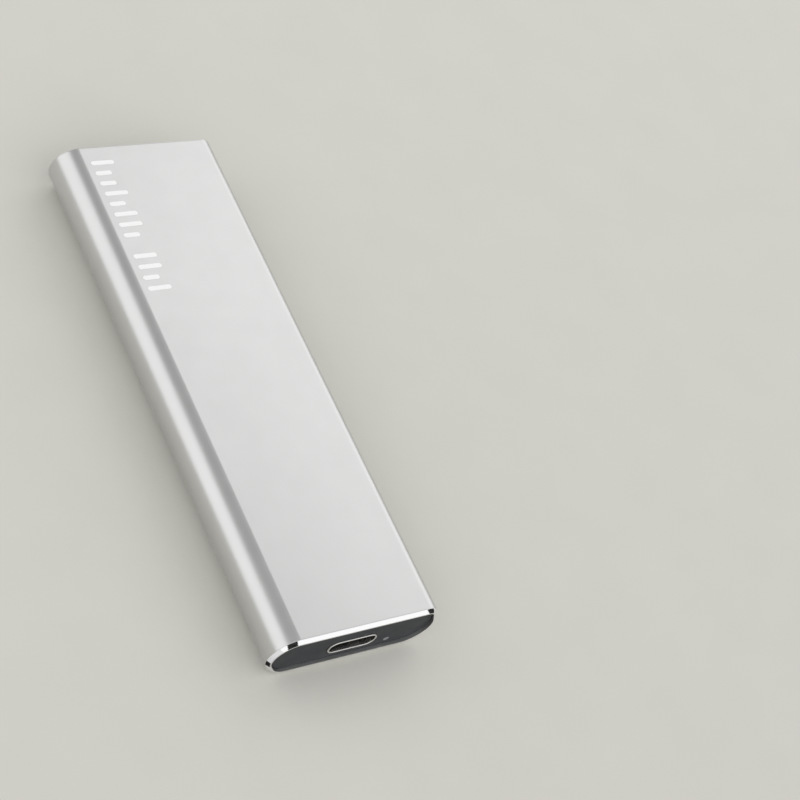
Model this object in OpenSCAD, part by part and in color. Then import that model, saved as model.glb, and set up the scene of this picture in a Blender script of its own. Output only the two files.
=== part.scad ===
// Slim external solid-state drive: an extruded aluminium sleeve with bright chamfered ends,
// closed by two recessed dark caps. A carrier tray inside holds the bridge board with its
// USB-C receptacle and a 22 x 80 mm memory card. Millimetres, +Z up, port end towards -Y,
// origin at the middle of the underside.

/* [Sleeve] */
// Overall width of the sleeve
body_w = 31; // [29.5:0.1:34]
// Overall height of the sleeve
body_h = 10; // [9:0.1:12]
// Wall of the extrusion
wall_t = 0.8; // [0.7:0.05:0.9]
// Radius of the full upper edge on the left
top_left_r = 4.5; // [3.5:0.1:4.8]
// Radius of the lower edge on the left
bottom_left_r = 4.3; // [2.5:0.1:4.8]
// Least height kept between the two rounds on the left
left_flat = 1.2; // [0.4:0.1:1.2]
// Radius of the full lower edge on the right
bottom_right_r = 5; // [4:0.1:5]
// Radius of the tight upper edge on the right
top_right_r = 1.2; // [1:0.1:2]
// How far the lower left edge is tucked in
left_tuck = 0.7; // [0:0.1:1]
// How far the upper right edge is tucked in
right_tuck = 1.3; // [0:0.1:1.5]
// Bright chamfer cut round each end
end_chamfer = 0.55; // [0.3:0.05:0.6]
// How far the inner ribs that keep the tray down stand out of the wall
rib_w = 0.7; // [0.5:0.1:1]
// Height of each inner rib
rib_h = 0.8; // [0.6:0.1:1]

/* [End caps] */
// Depth of the cap's face behind the sleeve's end
cap_recess = 0.6; // [0.3:0.1:1]
// Thickness of a cap's face
cap_t = 1.6; // [1.2:0.1:1.8]
// Depth of the skirt behind a cap's face
skirt_l = 3; // [2:0.5:4]
// Thickness of the skirt
skirt_t = 0.8; // [0.6:0.1:1]
// Gap between a cap and the sleeve round it
cap_gap = 0.08; // [0.05:0.01:0.12]

/* [USB-C receptacle] */
// Middle of the port, to the right of the sleeve's middle
port_x = 0.4; // [-1:0.1:1]
// Middle of the port above the underside
port_z = 4; // [3.8:0.1:4.2]
// Outer width of the metal shell
port_w = 8.94; // [8.9:0.01:9]
// Outer height of the metal shell
port_h = 3.26; // [3.16:0.01:3.3]
// Sheet thickness of the shell
port_shell_t = 0.3; // [0.2:0.05:0.35]
// Length of the shell
port_l = 7.3; // [6.8:0.1:7.6]
// How far the shell stands out of the cap
port_proud = 0.25; // [0:0.05:0.4]
// Gap round the shell where it passes through the cap
port_gap = 0.05; // [0.03:0.01:0.1]
// Width of the tongue in the port
tongue_w = 6.69; // [6.6:0.01:6.75]
// Thickness of the tongue
tongue_t = 0.7; // [0.6:0.05:0.75]
// Length of the tongue in front of its base
tongue_l = 4.45; // [4.2:0.05:4.6]
// Length of the moulded base that closes the shell's back
tongue_base_l = 2; // [1.5:0.1:2.2]
// Spacing of the tongue's contacts
port_pitch = 0.5; // [0.5:0.01:0.52]

/* [Activity light] */
// Middle of the light, to the right of the sleeve's middle
light_x = 7.6; // [7.5:0.1:8]
// Middle of the light above the underside
light_z = 2.3; // [2.2:0.1:2.4]
// Radius of the clear pipe
light_r = 0.5; // [0.4:0.05:0.6]

/* [Bridge board] */
// Length of the bridge board
bridge_l = 22; // [20:0.5:24]
// Thickness of the bridge board
bridge_t = 1; // [0.8:0.1:1]
// Gap between the front cap and the bridge board
bridge_gap = 0.2; // [0.1:0.1:0.4]
// Side of the square bridge chip
bridge_chip_w = 6.5; // [5:0.5:7]
// Gap between the parts under the bridge board
part_gap = 1; // [0.5:0.1:1.5]
// Radius of the tray's locating pegs
peg_r = 1; // [0.8:0.1:1.2]
// Gap round a peg in the board
peg_gap = 0.05; // [0.03:0.01:0.1]
// Distance of the pegs from the board's sides
peg_side = 3.5; // [3:0.1:4]
// Distance of the pegs from the board's far edge
peg_edge = 2.5; // [2:0.1:3]

/* [Memory card] */
// Width of the card
card_w = 22; // [21.9:0.05:22.1]
// Length of the card, which the sleeve's length follows
card_l = 80; // [70:1:90]
// Thickness of the card
card_t = 0.8; // [0.75:0.01:0.85]
// Height of the card's underside above the bridge board
card_lift = 1.6; // [1.4:0.1:1.7]
// Depth of the card's edge in its socket
card_seat = 4; // [3.5:0.1:4.2]
// Height of the card socket
socket_h = 3.2; // [3:0.1:3.3]
// Length of the card socket
socket_l = 7; // [6.6:0.1:7.2]
// Gap between the receptacle and the card socket
socket_gap = 0.5; // [0.2:0.1:1]
// Room between the card's far end and the far cap
end_room = 4.65; // [3:0.05:6]
// Spacing of the socket's contacts
socket_pitch = 0.5; // [0.5:0.01:0.6]
// Width of a socket contact
contact_w = 0.25; // [0.2:0.01:0.3]
// Length of a socket contact
contact_l = 3; // [2.8:0.1:3.2]
// Thickness of a socket contact
contact_t = 0.15; // [0.1:0.01:0.2]
// Distance of the outermost contacts from the card's sides
contact_side = 1.5; // [1.4:0.1:2]
// Distance of the middle of the card's key from its side
key_side = 4.9; // [4:0.1:6]
// Width of the card's key
key_w = 1.2; // [1:0.1:1.4]
// Width of a small capacitor
capacitor_w = 0.6; // [0.4:0.1:0.8]
// Length of a small capacitor
capacitor_l = 1; // [0.8:0.1:1.2]
// Height of a small capacitor
capacitor_h = 0.5; // [0.4:0.1:0.8]
// Height of the chips on the card
chip_h = 1.2; // [1:0.1:1.3]
// Side of the square controller
controller_w = 12; // [10:0.5:12]
// Width of the working memory chip
memory_w = 12; // [9:0.5:13]
// Length of the working memory chip
memory_l = 8; // [7:0.5:9]
// Width of a flash chip
flash_w = 14; // [11:0.5:14]
// Length of a flash chip
flash_l = 18; // [13:0.5:18]
// Width of the thermal pad
pad_w = 18; // [15:0.5:20]

/* [Carrier tray] */
// Thickness of the tray's floor and walls
tray_t = 0.8; // [0.6:0.1:1]
// Height of the tray's walls above the underside
tray_h = 5.2; // [4.5:0.1:5.4]
// Gap between the tray's walls and the sleeve
tray_gap = 0.1; // [0.05:0.01:0.15]
// Width of the rails and cross ribs that carry the boards
rail_w = 1.2; // [0.8:0.1:1.2]
// Radius of the boss under the card's far end
boss_r = 2.75; // [2.5:0.05:3]
// Radius of the threaded insert in the boss
insert_r = 1.6; // [1.5:0.05:1.8]
// Radius of the card screw's shank
screw_r = 1; // [0.9:0.05:1]
// Depth of the card screw in the insert
screw_grip = 2.4; // [1.8:0.1:3]
// Radius of the card screw's head
head_r = 2.5; // [2.2:0.1:2.8]
// Height of the card screw's head
head_h = 0.7; // [0.5:0.1:0.8]

/* [Hidden] */
$fn = 96;

// Faces along the length, from the port end to the far end
port_depth = cap_recess - port_proud + port_l;
card_depth = port_depth + socket_gap + socket_l - card_seat;
body_l = card_depth + card_l + end_room + cap_t + cap_recess;
front = -body_l / 2;
cap_face = front + cap_recess;
cap_back = cap_face + cap_t;
port_front = cap_face - port_proud;
port_back = front + port_depth;
board_front = cap_back + bridge_gap;
board_back = board_front + bridge_l;
led_front = board_front + bridge_gap;
socket_front = port_back + socket_gap;
socket_back = socket_front + socket_l;
card_front = front + card_depth;
card_back = card_front + card_l;
rib_end = cap_back + skirt_l + bridge_gap;

// Faces in height, from the underside up
floor_z = wall_t;
ceiling_z = body_h - wall_t;
tray_floor = floor_z + tray_t;
bridge_top = port_z;
bridge_bottom = bridge_top - bridge_t;
card_bottom = bridge_top + card_lift;
card_top = card_bottom + card_t;
chip_top = card_top + chip_h;
rib_z = tray_h + tray_gap;

// Places across the width
bridge_w = card_w;
peg_x = bridge_w / 2 - peg_side;
peg_y = board_back - peg_edge;
under_y = (socket_front + socket_back) / 2;
key_x = card_w / 2 - key_side;

// The card's chips are spread evenly between its small capacitors and its screw
capacitor = [capacitor_w, capacitor_l, capacitor_h];
card_capacitor_y = socket_back + capacitor_l;
chips_from = card_capacitor_y + capacitor_l / 2;
chips_to = card_back - head_r;
chip_gap = (chips_to - chips_from - controller_w - memory_l - 2 * flash_l) / 5;
controller_y = chips_from + chip_gap + controller_w / 2;
memory_y = controller_y + chip_gap + (controller_w + memory_l) / 2;
flash_y = [for (i = [0, 1]) memory_y + memory_l / 2 + (i + 1) * chip_gap + (i + 0.5) * flash_l];

// The four edges of the section as circles [x, z, radius], anticlockwise from the lower left
left_share = min(1, (body_h - left_flat) / (top_left_r + bottom_left_r));
upper_r = left_share * top_left_r;
lower_r = left_share * bottom_left_r;
full_r = min(bottom_right_r, body_h / 2);
edges = [
    [-body_w / 2 + left_tuck + lower_r, lower_r, lower_r],
    [body_w / 2 - full_r, full_r, full_r],
    [body_w / 2 - right_tuck - top_right_r, body_h - top_right_r, top_right_r],
    [-body_w / 2 + upper_r, body_h - upper_r, upper_r]
];
smallest_r = 0.2;

// Direction of the outward normal of the line from edge i to the next edge
function line_normal(i) =
    let (a = edges[i % 4], b = edges[(i + 1) % 4], run = [b[0] - a[0], b[1] - a[1]])
    atan2(run[1], run[0]) - acos((a[2] - b[2]) / norm(run));

// Edge i of the section moved inwards by inset. An edge too tight for the inset keeps
// smallest_r and moves in between its two lines.
function inset_edge(i, inset) =
    let (c = edges[i], r = max(c[2] - inset, smallest_r), n0 = line_normal(i + 3),
        n1 = line_normal(i), push = (c[2] - inset - r) / (1 + cos(n1 - n0)))
    [c[0] + push * (cos(n0) + cos(n1)), c[1] + push * (sin(n0) + sin(n1)), r];

// Points where the section's straight lines meet its arcs
function touch_points(inset) = [
    for (i = [0 : 3])
        let (c = inset_edge(i, inset))
        for (angle = [line_normal(i + 3), line_normal(i)])
            [c[0] + c[2] * cos(angle), c[1] + c[2] * sin(angle)]
];

// The sleeve's section moved inwards by inset: straight lines between true arcs
module section(inset) {
    polygon(touch_points(inset));
    for (i = [0 : 3])
        let (c = inset_edge(i, inset))
            translate([c[0], c[1]]) circle(r = c[2]);
}

// Extrudes a drawing in X and Z from y0 to y1
module along_y(y0, y1) {
    translate([0, y1, 0])
        rotate([90, 0, 0])
            linear_extrude(y1 - y0) children();
}

// A box from its lowest corner to its highest
module block(low, high) {
    translate(low) cube(high - low);
}

// A box centred on [x, y], standing on z
module part_box(x, y, z, size) {
    translate([x - size[0] / 2, y - size[1] / 2, z]) cube(size);
}

// A slot shape with round ends, w wide and h high
module stadium(w, h) {
    square([w - h, h], center = true);
    for (side = [-1, 1])
        translate([side * (w - h) / 2, 0]) circle(d = h);
}

module at_port() {
    translate([port_x, port_z]) children();
}

// The end of the sleeve where its outline draws in by the chamfer
module chamfered_end() {
    base = touch_points(0);
    tip = touch_points(end_chamfer);
    n = len(base);
    polyhedron(
        points = concat([for (p = base) [p[0], p[1], 0]], [for (p = tip) [p[0], p[1], end_chamfer]]),
        faces = concat([[for (i = [0 : n - 1]) i]], [[for (i = [n - 1 : -1 : 0]) i + n]],
            [for (i = [0 : n - 1]) [i, i + n, (i + 1) % n + n, (i + 1) % n]]));
    for (c = edges)
        translate([c[0], c[1], 0])
            cylinder(h = end_chamfer, r1 = c[2], r2 = c[2] - end_chamfer);
}

module sleeve() {
    color("silver")
        difference() {
            union() {
                along_y(front + end_chamfer, -front - end_chamfer) section(0);
                for (side = [0, 1])
                    mirror([0, side, 0])
                        translate([0, front + end_chamfer, 0])
                            rotate([90, 0, 0]) chamfered_end();
            }
            along_y(front - 1, rib_end) section(wall_t);
            along_y(-rib_end, 1 - front) section(wall_t);
            along_y(rib_end - 1, 1 - rib_end) ribbed_bore();
        }
}

// The bore where two ribs, one on each side wall, keep the tray down
module ribbed_bore() {
    difference() {
        section(wall_t);
        intersection() {
            difference() {
                section(wall_t);
                section(wall_t + rib_w);
            }
            translate([-body_w, rib_z]) square([2 * body_w, rib_h]);
        }
    }
}

// A cap's face with the skirt that grips the sleeve above the tray
module cap() {
    along_y(cap_face, cap_back) section(wall_t + cap_gap);
    difference() {
        along_y(cap_back, cap_back + skirt_l) section(wall_t + cap_gap);
        along_y(cap_back - 1, cap_back + skirt_l + 1) section(wall_t + cap_gap + skirt_t);
        block([-body_w, cap_back, -1], [body_w, cap_back + skirt_l + 1, tray_h + tray_gap]);
    }
}

module front_cap() {
    color("#3e3e40")
        difference() {
            cap();
            along_y(cap_face - 1, cap_back + 1)
                at_port() stadium(port_w + 2 * port_gap, port_h + 2 * port_gap);
            along_y(cap_face - 1, cap_back + 1)
                translate([light_x, light_z]) circle(r = light_r);
        }
}

module rear_cap() {
    color("#3e3e40") mirror([0, 1, 0]) cap();
}

// The tray's U-shaped section, resting on the sleeve's floor
module tray_section() {
    intersection() {
        translate([0, -tray_gap])
            difference() {
                section(wall_t + tray_gap);
                section(wall_t + tray_gap + tray_t);
            }
        translate([-body_w, 0]) square([2 * body_w, tray_h]);
    }
}

module carrier_tray() {
    color("#d9d8d2")
        difference() {
            union() {
                along_y(cap_back, -cap_back) tray_section();
                for (side = [-1, 1])
                    part_box(side * (bridge_w - rail_w) / 2, (board_front + board_back) / 2,
                        tray_floor, [rail_w, bridge_l, bridge_bottom - tray_floor]);
                for (side = [-1, 1])
                    translate([side * peg_x, peg_y, tray_floor])
                        cylinder(h = bridge_top - tray_floor, r = peg_r);
                for (y = flash_y)
                    part_box(0, y, tray_floor, [flash_w, rail_w, card_bottom - tray_floor]);
                translate([0, card_back, tray_floor])
                    cylinder(h = card_bottom - tray_floor, r = boss_r);
            }
            translate([0, card_back, tray_floor])
                cylinder(h = body_h, r = insert_r);
        }
}

module bridge_board() {
    color("#1f5a3a")
        difference() {
            block([-bridge_w / 2, board_front, bridge_bottom], [bridge_w / 2, board_back, bridge_top]);
            block([port_x - port_w / 2 - port_gap, board_front - 1, bridge_bottom - 1],
                [port_x + port_w / 2 + port_gap, port_back + port_gap, bridge_top + 1]);
            for (side = [-1, 1])
                translate([side * peg_x, peg_y, bridge_bottom - 1])
                    cylinder(h = bridge_t + 2, r = peg_r + peg_gap);
        }
}

module usb_c_shell() {
    tab = [1.6, 1.2, 0.3];
    sunk = 0.2;
    tabs = [port_back - tab[1], port_back - 3.5 * tab[1]];
    color("#c9cac8")
        difference() {
            union() {
                along_y(port_front, port_back) at_port() stadium(port_w, port_h);
                for (side = [-1, 1], y = tabs)
                    part_box(port_x + side * ((port_w + tab[0]) / 2 - sunk), y, bridge_top, tab);
            }
            along_y(port_front - 1, port_back + 1)
                at_port() stadium(port_w - 2 * port_shell_t, port_h - 2 * port_shell_t);
        }
}

module usb_c_tongue() {
    color("#1b1b1c") {
        along_y(port_back - tongue_base_l, port_back)
            at_port() stadium(port_w - 2 * port_shell_t, port_h - 2 * port_shell_t);
        along_y(port_back - tongue_base_l - tongue_l, port_back - tongue_base_l)
            at_port() square([tongue_w, tongue_t], center = true);
    }
}

module usb_c_contacts() {
    contact = [0.25, 3.4, 0.05];
    y = port_back - tongue_base_l - contact[1] / 2 - contact[0];
    color("gold")
        for (i = [0 : 11])
            for (z = [port_z + tongue_t / 2, port_z - tongue_t / 2 - contact[2]])
                part_box(port_x + (i - 5.5) * port_pitch, y, z, contact);
}

module light_pipe() {
    color("#dfe3e6")
        along_y(cap_face, led_front) translate([light_x, light_z]) circle(r = light_r);
}

module activity_led() {
    led = [1.6, 1, 1.2];
    color("#f0efe6")
        part_box(light_x, led_front + led[1] / 2, bridge_bottom - led[2], led);
}

module bridge_chip() {
    chip_t = 0.9;
    color("#202123")
        part_box(0, under_y, bridge_bottom - chip_t, [bridge_chip_w, bridge_chip_w, chip_t]);
}

module crystal() {
    can = [2.5, 3.2, 0.7];
    color("#c4c3bd")
        part_box(-(bridge_chip_w + can[0]) / 2 - part_gap, under_y, bridge_bottom - can[2], can);
}

module power_inductor() {
    coil = [2.5, 2.5, 1];
    color("#4a4a48")
        part_box((bridge_chip_w + coil[0]) / 2 + part_gap, under_y, bridge_bottom - coil[2], coil);
}

module capacitors() {
    across = 1.4;
    along = 1.6;
    color("#b79a74") {
        for (side = [-1, 1], i = [1 : 3])
            part_box(side * (bridge_w / 2 - 2 * capacitor_w), board_front + i * along, bridge_top,
                capacitor);
        for (i = [-3 : 3])
            part_box(i * across, card_capacitor_y, card_top, capacitor);
    }
}

// The card's socket: a moulded bar with a slot that opens towards the far end
module card_socket() {
    color("#26272a")
        difference() {
            block([-card_w / 2, socket_front, bridge_top],
                [card_w / 2, socket_back, bridge_top + socket_h]);
            block([-card_w / 2 + 0.9, card_front, card_bottom - contact_t],
                [card_w / 2 - 0.9, socket_back + 1, card_top + contact_t]);
        }
}

// Sprung contacts above and below the card's edge, with none at its key
module socket_contacts() {
    contact = [contact_w, contact_l, contact_t];
    each_side = floor((card_w / 2 - contact_side) / socket_pitch);
    color("gold")
        for (i = [-each_side : each_side], z = [card_bottom - contact_t, card_top])
            if (abs(i * socket_pitch - key_x) > key_w / 2 + contact_w)
                part_box(i * socket_pitch, card_front + card_seat / 2, z, contact);
}

// The memory card: its edge is narrowed and keyed, and its far end has the screw's half hole
module card_board() {
    shoulder = 1.05;
    hole_r = 1.75;
    color("#1d4f8a")
        difference() {
            block([-card_w / 2, card_front, card_bottom], [card_w / 2, card_back, card_top]);
            for (side = [-1, 1])
                part_box(side * card_w / 2, card_front, card_bottom - 1,
                    [2 * shoulder, 2 * card_seat, card_t + 2]);
            block([key_x - key_w / 2, card_front - 1, card_bottom - 1],
                [key_x + key_w / 2, card_front + card_seat - 0.5, card_top + 1]);
            translate([0, card_back, card_bottom - 1])
                cylinder(h = card_t + 2, r = hole_r);
        }
}

module card_chip(y, size) {
    color("#222326")
        part_box(0, y, card_top, [size[0], size[1], chip_h]);
}

module card_controller() card_chip(controller_y, [controller_w, controller_w]);
module card_memory() card_chip(memory_y, [memory_w, memory_l]);
module flash_chip_1() card_chip(flash_y[0], [flash_w, flash_l]);
module flash_chip_2() card_chip(flash_y[1], [flash_w, flash_l]);

module thermal_pad() {
    color("#9aa7b8")
        block([-pad_w / 2, controller_y - controller_w / 2, chip_top],
            [pad_w / 2, flash_y[1] + flash_l / 2, ceiling_z]);
}

module threaded_insert() {
    color("#c8a951")
        translate([0, card_back, tray_floor])
            difference() {
                cylinder(h = card_bottom - tray_floor, r = insert_r);
                translate([0, 0, 0.6]) cylinder(h = body_h, r = screw_r);
            }
}

module card_screw() {
    slot = [2.4, 0.5, 1];
    color("#8d8f91")
        translate([0, card_back, 0])
            difference() {
                union() {
                    translate([0, 0, card_bottom - screw_grip])
                        cylinder(h = screw_grip + card_t, r = screw_r);
                    translate([0, 0, card_top]) cylinder(h = head_h, r = head_r);
                }
                for (angle = [0, 90])
                    rotate([0, 0, angle]) part_box(0, 0, card_top + head_h / 2, slot);
            }
}

sleeve();
front_cap();
rear_cap();
carrier_tray();
bridge_board();
usb_c_shell();
usb_c_tongue();
usb_c_contacts();
light_pipe();
activity_led();
bridge_chip();
crystal();
power_inductor();
capacitors();
card_socket();
socket_contacts();
card_board();
card_controller();
card_memory();
flash_chip_1();
flash_chip_2();
thermal_pad();
threaded_insert();
card_screw();
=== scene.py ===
# %% [markdown]
# # A slim external solid-state drive
# The real drive is a satin aluminium sleeve, a little longer than a finger, with a dark cap let
# into each end. The solid model already gives every part its size and place. This script
# dresses it: it loads that model as a fixed frame, gives each part the finish of its real
# material, makes the sleeve anew with crisp cut ends, and sets up a floor, lights and a camera.

# %% The fixed frame
import bpy
import bmesh
from math import acos, atan2, cos, degrees, hypot, pi, radians, sin
from mathutils import Matrix, Vector


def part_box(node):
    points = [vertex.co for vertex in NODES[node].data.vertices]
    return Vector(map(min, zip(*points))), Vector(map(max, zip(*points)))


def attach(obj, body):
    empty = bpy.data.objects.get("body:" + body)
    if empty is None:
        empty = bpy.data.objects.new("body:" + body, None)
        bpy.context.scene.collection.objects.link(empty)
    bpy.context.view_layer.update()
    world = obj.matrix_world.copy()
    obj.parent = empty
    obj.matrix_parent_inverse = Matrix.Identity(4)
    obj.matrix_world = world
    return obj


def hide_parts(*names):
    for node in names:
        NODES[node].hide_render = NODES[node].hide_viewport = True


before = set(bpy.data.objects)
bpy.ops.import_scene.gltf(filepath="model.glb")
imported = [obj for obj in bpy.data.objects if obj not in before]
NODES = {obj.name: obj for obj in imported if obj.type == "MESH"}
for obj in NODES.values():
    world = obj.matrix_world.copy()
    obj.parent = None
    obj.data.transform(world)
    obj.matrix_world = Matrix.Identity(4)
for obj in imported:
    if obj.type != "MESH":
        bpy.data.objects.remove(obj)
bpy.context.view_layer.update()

MM = 0.001  # every length in Blender is in metres
low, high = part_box("sleeve")
print("parts:", len(NODES))
print("sleeve in mm:", [round(v / MM, 2) for v in high - low])

# %% [markdown]
# ## Finishes
# A real surface is never one flat colour. Its tone drifts a little over a few centimetres, its
# gloss changes where it was handled, and a fine grain breaks up the highlights. So every finish
# here starts from one shader and adds three noises to it: a slow one for tone, a middle one for
# gloss and a fine one for grain. All of them read Object coordinates, which are metres on the
# drive itself, so a grain of 0.2 mm is the same on a tiny chip and on the long sleeve. A painted
# image would do this too, but it needs an unwrapped mesh and blurs when one looks closer.

# %% One shader
def new_finish(name, colour, metal=0.0, rough=0.5, **more):
    """A material with its shader, and the Object coordinates that its patterns read."""
    finish = bpy.data.materials.new(name)
    finish.use_nodes = True
    tree = finish.node_tree
    shader = tree.nodes["Principled BSDF"]
    shader.inputs["Base Color"].default_value = (*colour, 1)
    shader.inputs["Metallic"].default_value = metal
    shader.inputs["Roughness"].default_value = rough
    for socket, value in more.items():
        shader.inputs[socket.replace("_", " ")].default_value = value
    place = tree.nodes.new("ShaderNodeTexCoord")
    print("finish:", name)
    return finish, tree, shader, place.outputs["Object"]

# %% Noise
SOFT = (0.3, 0.7)  # noise seldom leaves this range, so a change from end to end uses all of it


def noise(tree, place, size, detail=3.0, stretch=(1, 1, 1)):
    """Noise whose spots are about size metres across, drawn out along an axis by stretch."""
    mapping = tree.nodes.new("ShaderNodeMapping")
    mapping.inputs["Scale"].default_value = [1 / (size * s) for s in stretch]
    texture = tree.nodes.new("ShaderNodeTexNoise")
    texture.inputs["Scale"].default_value = 1.0
    texture.inputs["Detail"].default_value = detail
    tree.links.new(place, mapping.inputs["Vector"])
    tree.links.new(mapping.outputs["Vector"], texture.inputs["Vector"])
    return texture.outputs["Fac"]

# %% From noise to a colour, or to a number
def ramp(tree, factor, dark, light, start=SOFT[0], end=SOFT[1]):
    """A soft change from one colour to another as the factor goes from start to end."""
    node = tree.nodes.new("ShaderNodeValToRGB")
    first, last = node.color_ramp.elements
    first.position, last.position = start, end
    first.color, last.color = (*dark, 1), (*light, 1)
    tree.links.new(factor, node.inputs["Fac"])
    return node.outputs["Color"]


def set_range(node, start, end, first, last):
    """Makes a Map Range node go from first to last as its value goes from start to end."""
    for socket, value in (("From Min", start), ("From Max", end), ("To Min", first), ("To Max", last)):
        node.inputs[socket].default_value = value


def spread(tree, factor, least, most):
    """A number that goes from least to most as the factor crosses the soft range."""
    node = tree.nodes.new("ShaderNodeMapRange")
    set_range(node, *SOFT, least, most)
    tree.links.new(factor, node.inputs["Value"])
    return node.outputs["Result"]

# %% From noise to height
def bump(tree, shader, height, depth):
    """Raises and lowers the look of the surface by depth metres, where height goes from 0 to 1."""
    node = tree.nodes.new("ShaderNodeBump")
    node.inputs["Strength"].default_value = 1.0
    node.inputs["Distance"].default_value = depth
    tree.links.new(height, node.inputs["Height"])
    normal = shader.inputs["Normal"]
    if normal.is_linked:
        tree.links.new(normal.links[0].from_socket, node.inputs["Normal"])
    tree.links.new(node.outputs["Normal"], normal)

# %% The three noises together
TONE_SPOT, GLOSS_SPOT = 12 * MM, 3 * MM


def shade(colour, factor):
    """The colour made lighter or darker by a factor, and never brighter than white."""
    return tuple(min(1.0, c * factor) for c in colour)


def make_finish(name, colour, metal=0.0, rough=0.5, drift=0.06, gloss=0.05, grain=0.2 * MM,
                depth=0.004 * MM, stretch=(1, 1, 1), **more):
    """The three noises over one shader: drift of the tone, change of gloss, depth of grain."""
    finish, tree, shader, place = new_finish(name, colour, metal, rough, **more)
    slow = noise(tree, place, TONE_SPOT, stretch=stretch)
    tone = ramp(tree, slow, shade(colour, 1 - drift), shade(colour, 1 + drift))
    tree.links.new(tone, shader.inputs["Base Color"])
    middle = noise(tree, place, GLOSS_SPOT, stretch=stretch)
    tree.links.new(spread(tree, middle, rough - gloss, rough + gloss), shader.inputs["Roughness"])
    bump(tree, shader, noise(tree, place, grain, detail=2.0, stretch=stretch), depth)
    return finish

# %% Putting a finish on parts
def wear(finish, *names):
    """Puts a finish on parts of the frame, in the slots that they already have."""
    for name in names:
        for slot in NODES[name].material_slots:
            slot.material = finish

# %% [markdown]
# ## The aluminium
# The sleeve is extruded, blasted with fine beads and anodised clear: a satin silver that spreads
# a highlight softly. After that its ends are milled, and the cut shows bare polished metal with
# very fine lines left by the cutter. Two finishes make that difference plain, where one would
# make the ends vanish into the body.

# %% Satin body and bright cut
SILVER = (0.64, 0.64, 0.636)
satin = make_finish("satin_anodised", SILVER, metal=1.0, rough=0.30, drift=0.010, gloss=0.015,
                    grain=0.12 * MM, depth=0.0008 * MM)
bright = make_finish("bright_cut", (0.92, 0.92, 0.925), metal=1.0, rough=0.10, drift=0.01,
                     gloss=0.02, grain=0.06 * MM, depth=0.0002 * MM, stretch=(8, 1, 8))

# %% [markdown]
# ## Round outlines
# The sleeve and the port are both tubes with one closed outline. A vertex spun round a centre
# gives a true arc, so an outline is made of one spun vertex for each arc, and the straight sides
# are the edges that join them. Typing in points would work too, but a spun arc stays round when
# its radius changes. The sleeve repeats its outline along the length and bridges each two
# neighbours with faces, which lets the outline shrink a little at the ends.

# %% An outline of spun arcs, and a tube of bridged outlines
def outline(bm, y, arcs, steps):
    """Edges of one closed outline at y. An arc is centre x, centre z, radius, start, turn."""
    ring = []
    for x, z, radius, start, turn in arcs:
        centre, count = Vector((x, y, z)), len(bm.verts)
        first = bm.verts.new(centre + radius * Vector((cos(start), 0, sin(start))))
        if turn:
            bmesh.ops.spin(bm, geom=[first], cent=centre, axis=(0, -1, 0), angle=turn, steps=steps)
        bm.verts.ensure_lookup_table()
        ring += bm.verts[count:]
    return [bm.edges.get(pair) or bm.edges.new(pair) for pair in zip(ring, ring[1:] + ring[:1])]


def tube(bm, stations, steps):
    """Bridges outlines in order and closes the tube on itself. Returns the faces of each step."""
    rings = [outline(bm, y, arcs, steps) for y, arcs in stations]
    return [bmesh.ops.bridge_loops(bm, edges=a + b)["faces"]
            for a, b in zip(rings, rings[1:] + rings[:1])]

# %% From mesh to finished piece
def finish_piece(bm, name, finishes, sharp=6):
    """Makes a smooth piece that rides on the frame. Edges that turn more than sharp degrees
    stay crisp."""
    bmesh.ops.recalc_face_normals(bm, faces=bm.faces)
    for face in bm.faces:
        face.smooth = True
    for edge in bm.edges:
        edge.smooth = edge.calc_face_angle(0) < radians(sharp)
    mesh = bpy.data.meshes.new(name)
    bm.to_mesh(mesh)
    bm.free()
    piece = bpy.data.objects.new(name, mesh)
    bpy.context.scene.collection.objects.link(piece)
    for finish in finishes:
        mesh.materials.append(finish)
    weighted = piece.modifiers.new("flat faces stay flat", "WEIGHTED_NORMAL")
    weighted.keep_sharp = True
    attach(piece, "root")
    print(name, "faces:", len(mesh.polygons))
    return piece

# %% [markdown]
# ## The section of the sleeve
# Seen from its end the sleeve is not a plain rounded bar. Both left edges are full and round, the
# lower right edge is a half round, and the upper right edge is much tighter. The flat top meets
# the upper left round in a faint crease, which makes a crisp line of light along the drive. A box
# with bevelled edges has upright sides, and here the sides lean. So each edge is a circle of its
# own, and the flats are the lines that touch two neighbouring circles.

# %% The four edges and the flats between them
EDGES = [  # x, z and radius in mm, anticlockwise from the lower left
    (-10.5, 4.3, 4.3),
    (10.5, 5.0, 5.0),
    (12.47, 8.0, 2.0),
    (-11.0, 5.5, 4.5),
]
CREASED, CREASE = 3, radians(6)  # the upper left edge, and how much the crease turns


def flat_faces(a, b):
    """Direction that the flat between two neighbouring circles faces."""
    run = (b[0] - a[0], b[1] - a[1])
    return atan2(run[1], run[0]) - acos((a[2] - b[2]) / hypot(*run))


FLATS = [flat_faces(EDGES[i], EDGES[(i + 1) % 4]) for i in range(4)]
print("flats face, in degrees:", [round(degrees(a)) for a in FLATS])


def section(inset):
    """The arcs of the section, moved in by inset mm."""
    arcs = []
    for i, (x, z, r) in enumerate(EDGES):
        start, end = FLATS[i - 1], FLATS[i]
        turn = (end - start) % (2 * pi)
        radius = r - inset
        if i == CREASED:  # one point a little outside the circle, where two flats meet
            reach = radius / cos(CREASE / 2)
            arcs.append((x * MM, z * MM, reach * MM, start + CREASE / 2, 0))
            start, turn = start + CREASE, turn - CREASE
        arcs.append((x * MM, z * MM, radius * MM, start, turn))
    return arcs

# %% [markdown]
# ## The sleeve
# A satin surface shows every facet of a curve, and the frame's sleeve is made of flat strips.
# So it is made again here at the same size, with many more strips and smooth shading. At each
# end the outline draws in by the cut, a polished chamfer of about half a millimetre, and just
# before it the blasted edge is rolled over a hair, which shows as a fine grey line.

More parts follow.
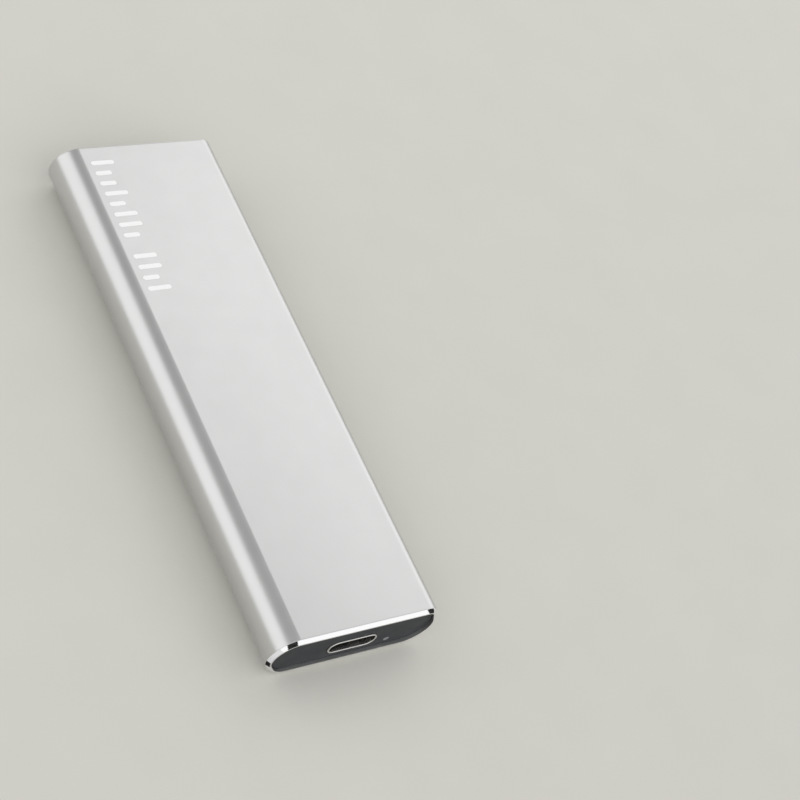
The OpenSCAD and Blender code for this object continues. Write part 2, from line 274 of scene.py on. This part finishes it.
# %% Outlines along the length
WALL, CUT, ROLL, ROLL_L = 0.8, 0.55, 0.02, 0.14  # mm
STRIPS = 40  # for each round edge
end = high.y / MM
half = [(end - CUT - ROLL_L, 0), (end - CUT, ROLL), (end, CUT), (end, WALL)]
stations = [(-y, inset) for y, inset in reversed(half)] + half
bm = bmesh.new()
bands = tube(bm, [(y * MM, section(inset)) for y, inset in stations], steps=STRIPS)
CUT_BANDS = (0, 1, 5, 6)  # the end face and the chamfer, at each end
for i in CUT_BANDS:
    for face in bands[i]:
        face.material_index = 1
sleeve = finish_piece(bm, "sleeve_skin", [satin, bright])
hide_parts("sleeve")

# %% [markdown]
# ## The caps
# Each cap is moulded in dark grey plastic. Moulds for such parts are spark-eroded, which leaves
# an even, fine matt grain, and the plastic is a little blue rather than a true black. The shape
# from the solid model is right as it is, so only its finish is new.

# %% Moulded plastic
graphite = make_finish("graphite_plastic", (0.022, 0.025, 0.030), rough=0.55, drift=0.08,
                       gloss=0.05, grain=0.10 * MM, depth=0.006 * MM, Specular_IOR_Level=0.40)
wear(graphite, "front_cap", "rear_cap")

# %% [markdown]
# ## The port
# The receptacle is a drawn steel tube, plated with nickel, round a black tongue that carries
# gold-plated contacts. Two half circles make its outline. One could bridge two outlines again,
# but here the section never changes, so one outline is pulled along the length and then given
# the thickness of the sheet.

# %% The tube of the shell
PORT_W, PORT_H, SHEET = 8.94 * MM, 3.26 * MM, 0.3 * MM
shell_low, shell_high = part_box("usb_c_shell")
middle = (shell_low + shell_high) / 2
apart = (PORT_W - PORT_H) / 2
half_circles = [(middle.x + side * apart, middle.z, PORT_H / 2, side * -pi / 2, pi)
                for side in (1, -1)]
print("middle of the port in mm:", [round(v / MM, 2) for v in middle])
bm = bmesh.new()
rim = outline(bm, shell_low.y, half_circles, steps=24)
pulled = bmesh.ops.extrude_edge_only(bm, edges=rim)["geom"]
bmesh.ops.translate(bm, verts=[v for v in pulled if isinstance(v, bmesh.types.BMVert)],
                    vec=(0, shell_high.y - shell_low.y, 0))
bmesh.ops.recalc_face_normals(bm, faces=bm.faces)
side_wall = max(bm.faces, key=lambda f: f.calc_center_median().x)
if side_wall.normal.x < 0:  # the sheet grows inwards only when the faces look outwards
    bmesh.ops.reverse_faces(bm, faces=bm.faces)
bmesh.ops.solidify(bm, geom=bm.faces[:], thickness=SHEET)

# %% [markdown]
# ## The rounded lip and the soldering tabs
# The shell's front edge is rounded where the plug is led in, and that tiny round makes the bright
# outline that one sees first. A bevel modifier would round every edge, so the operator gets only
# the edges of the rim. Four small tabs on the sides are soldered to the board, and hold the
# receptacle against the pull of the plug.

# %% Lip
LIP, FLUSH = 0.10 * MM, 0.0001 * MM
front_edges = [e for e in bm.edges if all(abs(v.co.y - shell_low.y) < FLUSH for v in e.verts)
               and any(abs(f.normal.y) < 0.5 for f in e.link_faces)]
print("edges round the rim:", len(front_edges))
bmesh.ops.bevel(bm, geom=front_edges, offset=LIP, offset_type="OFFSET", segments=5,
                profile=0.5, affect="EDGES", material=-1)

# %% Tabs and nickel plate
TAB, SUNK, TAB_PLACES = Vector((1.6, 1.2, 0.3)) * MM, 0.2 * MM, (1.2 * MM, 4.2 * MM)
for side in (-1, 1):
    for from_back in TAB_PLACES:
        block = bmesh.ops.create_cube(bm, size=1)["verts"]
        bmesh.ops.scale(bm, vec=TAB, verts=block)
        place = (middle.x + side * ((PORT_W + TAB[0]) / 2 - SUNK),
                 shell_high.y - from_back, middle.z + TAB[2] / 2)
        bmesh.ops.translate(bm, verts=block, vec=place)
nickel = make_finish("nickel_plate", (0.74, 0.735, 0.725), metal=1.0, rough=0.24, drift=0.03,
                     gloss=0.05, grain=0.08 * MM, depth=0.0006 * MM, stretch=(1, 6, 1))
shell = finish_piece(bm, "port_shell", [nickel], sharp=40)
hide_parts("usb_c_shell")
wear(nickel, "usb_c_shell")

# %% [markdown]
# ## Tongue and contacts
# The tongue is moulded in a black that swallows light, because it has to stand heat. The contacts
# are plated with gold, which is not a paint: it colours what it mirrors, so it is a metal finish
# with a yellow colour.

# %% Tongue and gold contacts
black = make_finish("black_moulding", (0.008, 0.008, 0.009), rough=0.55, drift=0.1,
                    grain=0.08 * MM, depth=0.003 * MM, Specular_IOR_Level=0.2)
gold = make_finish("gold_plate", (0.86, 0.62, 0.24), metal=1.0, rough=0.22, drift=0.05,
                   grain=0.05 * MM, depth=0.0006 * MM)
wear(black, "usb_c_tongue", "card_socket")
wear(gold, "usb_c_contacts", "socket_contacts")

# %% [markdown]
# ## The light
# A short rod of frosted clear plastic carries the light of a diode to the face of the cap. With
# the drive at rest it is only a pale grey dot, milky and a little glossy. Clear glass would show
# the dark board behind it, so only a quarter of its light passes through.

# %% Frosted pipe and diode
frosted = make_finish("frosted_pipe", (0.25, 0.26, 0.28), rough=0.35, drift=0.08, gloss=0.08,
                      grain=0.12 * MM, depth=0.004 * MM, Transmission_Weight=0.25, IOR=1.58)
ceramic = make_finish("diode_ceramic", (0.78, 0.76, 0.66), rough=0.4, drift=0.05)
wear(frosted, "light_pipe")
wear(ceramic, "activity_led")

# %% [markdown]
# ## Printed marks
# A plain row of short white bars runs along one edge of the top, a pattern with no meaning. Screen
# print is a film of ink a few hundredths of a millimetre thick. It could be painted by a material,
# but then it would have no edge, so each bar is a thin slab with round ends that stands on the
# satin top.

# %% One bar with round ends
INK_T, BAR_W, ROUND = 0.02 * MM, 0.90 * MM, 24


def add_bar(bm, x, y, length):
    """A slab with round ends across the drive, its middle at x, y on the flat top."""
    disc = bmesh.ops.create_circle(bm, cap_ends=True, segments=ROUND, radius=BAR_W / 2)["verts"]
    for vert in disc:
        vert.co.x += (length - BAR_W) / 2 * (1 if vert.co.x > 0 else -1)
    lifted = bmesh.ops.extrude_face_region(bm, geom=list(disc[0].link_faces))["geom"]
    top = [v for v in lifted if isinstance(v, bmesh.types.BMVert)]
    bmesh.ops.translate(bm, verts=top, vec=(0, 0, INK_T))
    bmesh.ops.translate(bm, verts=disc + top, vec=(x, y, high.z))

# %% A row of bars
LENGTHS = (4.3, 3.0, 4.3, 4.3, 0, 3.0, 4.3, 4.3, 3.0, 4.3, 3.0, 3.0, 4.3)  # mm, 0 is a gap
ROW_X, ROW_START, STEP = -10.3 * MM, 18.0 * MM, 2.25 * MM
ink = make_finish("white_ink", (0.97, 0.97, 0.965), rough=0.45, drift=0.01, gloss=0.05,
                  grain=0.15 * MM, depth=0.003 * MM)
bm = bmesh.new()
for i, length in enumerate(LENGTHS):
    if length:
        add_bar(bm, ROW_X + length * MM / 2, ROW_START + i * STEP, length * MM)
finish_piece(bm, "printed_bars", [ink], sharp=30)

# %% [markdown]
# ## The parts inside
# The sleeve hides a tray, a small bridge board and a long memory card. Nobody sees them on a
# closed drive, yet they get honest finishes, so that the model can be opened and looked at. Their
# shapes from the solid model are enough, and the same three noises serve plastic, metal and
# ceramic, each at its own strength.

# %% Tray, pad and small parts
natural = make_finish("natural_nylon", (0.66, 0.65, 0.60), rough=0.5, drift=0.04,
                      Subsurface_Weight=0.05)
pad = make_finish("thermal_pad", (0.33, 0.39, 0.48), rough=0.7, drift=0.06, depth=0.02 * MM)
tin = make_finish("tinned_can", (0.60, 0.59, 0.56), metal=1.0, rough=0.32, drift=0.05)
ferrite = make_finish("ferrite", (0.09, 0.09, 0.085), rough=0.6, drift=0.1, depth=0.01 * MM)
ceramic_tan = make_finish("tan_ceramic", (0.47, 0.34, 0.22), rough=0.35, drift=0.08)
brass = make_finish("brass", (0.72, 0.55, 0.28), metal=1.0, rough=0.3, drift=0.05)
steel = make_finish("screw_steel", (0.45, 0.45, 0.46), metal=1.0, rough=0.3, drift=0.05)
for finish, names in (
        (natural, ["carrier_tray"]), (pad, ["thermal_pad"]), (tin, ["crystal"]),
        (ferrite, ["power_inductor"]), (ceramic_tan, ["capacitors"]),
        (brass, ["threaded_insert"]), (steel, ["card_screw"])):
    wear(finish, *names)

# %% [markdown]
# ## The boards
# A circuit board is copper under a coloured lacquer, the solder mask, and the tracks show through
# as lighter raised lines. Real tracks would be thousands of strips, so a brick pattern stands for
# them: its joints are the tracks, in colour and in height.

# %% Solder mask over tracks
TRACKS, TRACK_SHARE = 1.2 * MM, 0.06


def make_board(name, mask, copper):
    """A circuit board in a colour of mask, with tracks in the colour that copper gives it."""
    finish, tree, shader, place = new_finish(name, mask, rough=0.35, Coat_Weight=0.3)
    mapping = tree.nodes.new("ShaderNodeMapping")
    mapping.inputs["Scale"].default_value = (1 / TRACKS,) * 3
    tree.links.new(place, mapping.inputs["Vector"])
    tracks = tree.nodes.new("ShaderNodeTexBrick")
    tracks.inputs["Scale"].default_value = 1.0
    tracks.inputs["Mortar Size"].default_value = TRACK_SHARE
    tracks.inputs["Color1"].default_value = (*mask, 1)
    tracks.inputs["Color2"].default_value = (*shade(mask, 1.12), 1)
    tracks.inputs["Mortar"].default_value = (*copper, 1)
    tree.links.new(mapping.outputs["Vector"], tracks.inputs["Vector"])
    tree.links.new(tracks.outputs["Color"], shader.inputs["Base Color"])
    bump(tree, shader, tracks.outputs["Fac"], 0.03 * MM)
    bump(tree, shader, noise(tree, place, 0.1 * MM), 0.003 * MM)
    return finish


wear(make_board("green_board", (0.012, 0.10, 0.045), (0.03, 0.20, 0.09)), "bridge_board")
wear(make_board("blue_board", (0.012, 0.07, 0.25), (0.03, 0.14, 0.40)), "card_board")

# %% [markdown]
# ## The chips
# A chip is a block of black epoxy with a fine matt grain, and a round dimple marks its first pin.
# The dimple is too shallow to be worth a shape, so a soft ball of painted light, a paler tone, sits in
# that corner.
# Each chip needs its own finish, because the corner is at another place.

# %% Black epoxy with a dimple
# the paler tone is painted light that stands in for the hollow of the dimple
EPOXY, DIMPLE_PAINTED_LIGHT = (0.016, 0.016, 0.018), (0.06, 0.06, 0.063)
FROM_EDGES, DIMPLE_R = 0.9 * MM, 0.4 * MM


def make_chip(name, box):
    """Black moulded epoxy for a chip in this box, with the dimple painted as a paler ball of light in
    its back left corner.
    """
    finish, tree, shader, place = new_finish(name, EPOXY, rough=0.45)
    corner = Vector((box[0].x, box[1].y, box[1].z)) + Vector((1, -1, 0)) * FROM_EDGES
    mapping = tree.nodes.new("ShaderNodeMapping")
    mapping.vector_type = "TEXTURE"
    mapping.inputs["Location"].default_value = corner
    mapping.inputs["Scale"].default_value = (DIMPLE_R,) * 3
    tree.links.new(place, mapping.inputs["Vector"])
    ball = tree.nodes.new("ShaderNodeTexGradient")
    ball.gradient_type = "SPHERICAL"
    tree.links.new(mapping.outputs["Vector"], ball.inputs["Vector"])
    # painted light: the epoxy turns paler inside the ball where the dimple is
    tone = ramp(tree, ball.outputs["Fac"], EPOXY, DIMPLE_PAINTED_LIGHT, 0.1, 0.2)
    tree.links.new(tone, shader.inputs["Base Color"])
    speck = noise(tree, place, 0.08 * MM, detail=4.0)
    tree.links.new(spread(tree, speck, 0.38, 0.52), shader.inputs["Roughness"])
    bump(tree, shader, speck, 0.006 * MM)
    return finish


for name in ("bridge_chip", "card_controller", "card_memory", "flash_chip_1", "flash_chip_2"):
    wear(make_chip(name + "_epoxy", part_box(name)), name)

# %% [markdown]
# ## The floor
# The floor is plain and pale, with a faint unevenness so that it does not look like paper. It is
# fully matt: a sheen would mirror the small cards that stand near it.

# %% Floor
FLOOR = 3.0  # metres from its middle to each side
floor_finish = make_finish("floor", (0.68, 0.672, 0.621), rough=0.85, drift=0.01, gloss=0.02,
                           grain=0.8 * MM, depth=0.02 * MM, Specular_IOR_Level=0.0)


def stage_grid(name, finish, size, place=Matrix(), hidden=False):
    """A flat sheet that is part of the studio, not of the drive. Size is half a side."""
    bm = bmesh.new()
    bmesh.ops.create_grid(bm, x_segments=1, y_segments=1, size=size)
    bmesh.ops.transform(bm, matrix=place, verts=bm.verts)
    print(name, "rises to mm:", round(max(v.co.z for v in bm.verts) / MM, 1))
    mesh = bpy.data.meshes.new(name)
    bm.to_mesh(mesh)
    bm.free()
    mesh.materials.append(finish)
    sheet = bpy.data.objects.new(name, mesh)
    bpy.context.scene.collection.objects.link(sheet)
    if hidden:
        sheet.visible_camera = sheet.visible_diffuse = sheet.visible_shadow = False


stage_grid("floor", floor_finish, FLOOR)

# %% [markdown]
# ## The soft boxes
# Metal shows its lights rather than its colour, so the lights are placed by what mirrors them.
# The flat top mirrors a large soft box behind and to the right. The round left edge mirrors one
# behind and to the left, as the bright band along the drive. Between them it mirrors the dim
# surroundings, as the darker bands. A small hard lamp would draw thin streaks instead.

# %% Two soft boxes
def soft_box(name, angle, along, distance, size, radiance):
    """An area light that faces the drive. Angle is from straight up to the right, seen from
    the port end, and along is its place along the drive."""
    data = bpy.data.lights.new(name, "AREA")
    data.shape = "RECTANGLE"
    data.size, data.size_y = size
    data.energy = radiance * pi * size[0] * size[1]
    lamp = bpy.data.objects.new(name, data)
    bpy.context.scene.collection.objects.link(lamp)
    a = radians(angle)
    lamp.location = (distance * sin(a), along, distance * cos(a))
    lamp.rotation_mode = "QUATERNION"
    lamp.rotation_quaternion = lamp.location.to_track_quat("Z", "Y")
    print(name, "watts:", round(data.energy, 2))


soft_box("back_right_box", 53, 0.38, 0.80, (0.80, 0.80), 0.82)
soft_box("back_left_box", -57, 0.42, 0.80, (1.00, 0.80), 0.78)

# %% [markdown]
# ## Small cards round the cut end
# Polished metal looks polished only where it mirrors something dark beside something bright. A
# photographer holds small black cards, called flags, close to such an edge, and a white one where
# it should shine. Here three flags give the bright ring its dark patches, and a white card keeps
# its lower left part from mirroring the grey floor. They are so small and near that little else
# mirrors them, no camera sees them, and they cast no shadow.

# %% Black and white cards
black_cloth = make_finish("black_cloth", (0.01, 0.01, 0.01), rough=0.9)
white_board = make_finish("white_board", (0.97, 0.97, 0.965), rough=0.9)


def card(name, finish, spot, offset, width, height):
    """A small card that stands at an offset from a spot and faces it. All lengths are in mm."""
    spot, offset = Vector(spot) * MM, Vector(offset) * MM
    turn = offset.to_track_quat("Z", "Y").to_matrix().to_4x4()
    shape = Matrix.Diagonal((width, height, 1, 1))
    place = Matrix.Translation(spot + offset) @ turn @ shape
    stage_grid(name, finish, 0.5 * MM, place, hidden=True)


card("left_flag", black_cloth, (-12.9, -49.0, 9.3), (0.1, -4.3, 1.5), 4.0, 3.6)
card("right_flag", black_cloth, (12.7, -48.9, 9.75), (1.65, -1.45, 0.4), 1.9, 1.9)
card("low_flag", black_cloth, (-15.1, -48.7, 4.5), (-0.4, -0.8, -2.3), 1.8, 2.0)
card("white_card", white_board, (-14.7, -47.5, 24.2), (-3.4, -7.6, -18.2), 6.0, 13.0)

# %% [markdown]
# ## The surroundings
# A room lights an object from all sides, and more from its windows. The front half of these
# surroundings is bright, for the polished ring at the cut end, and the back half is dim, for the
# dark bands along the sleeve. Lamps in front would do it too, but they would show as hard-edged
# patches in the top, so the strength of the world changes softly with the direction instead.

# %% World
IN_FRONT, BEHIND = -0.30, 0.20  # of the direction's y
BRIGHT, DIM = 1.05, 0.48
world = bpy.data.worlds.new("surroundings")
world.use_nodes = True
nodes, links = world.node_tree.nodes, world.node_tree.links
direction = nodes.new("ShaderNodeTexCoord").outputs["Generated"]
axes = nodes.new("ShaderNodeSeparateXYZ")
links.new(direction, axes.inputs["Vector"])
level = nodes.new("ShaderNodeMapRange")
level.interpolation_type = "SMOOTHSTEP"
set_range(level, IN_FRONT, BEHIND, BRIGHT, DIM)
links.new(axes.outputs["Y"], level.inputs["Value"])
links.new(level.outputs["Result"], nodes["Background"].inputs["Strength"])
nodes["Background"].inputs["Color"].default_value = (1.0, 1.0, 1.0, 1)
bpy.context.scene.world = world
print("surroundings go from", BRIGHT, "in front to", DIM, "behind")

# %% [markdown]
# ## The camera
# The camera looks down from the left of the port end, close to the drive and tilted, so that the
# drive lies steeply across the picture. Its three axes are given as columns of a matrix: to the
# right of the picture, up the picture, and back towards the photographer.

# %% Camera
RIGHT = Vector((0.82273, -0.41206, 0.39156))
UP = Vector((0.13707, 0.81233, 0.56687))
BACK = RIGHT.cross(UP)
PLACE = Vector((-0.15468, -0.14537, 0.24690))
view = bpy.data.cameras.new("camera")
view.sensor_width = 36.0  # mm
view.lens = 87.48  # mm
view.clip_start, view.clip_end = 0.01, 20.0
camera = bpy.data.objects.new("camera", view)
bpy.context.scene.collection.objects.link(camera)
turn = Matrix((RIGHT, UP, BACK)).transposed().to_4x4()
camera.matrix_world = Matrix.Translation(PLACE) @ turn
bpy.context.scene.camera = camera
bpy.context.scene.view_settings.view_transform = "Standard"
print("camera is", round(PLACE.length / MM), "mm from the middle of the base")
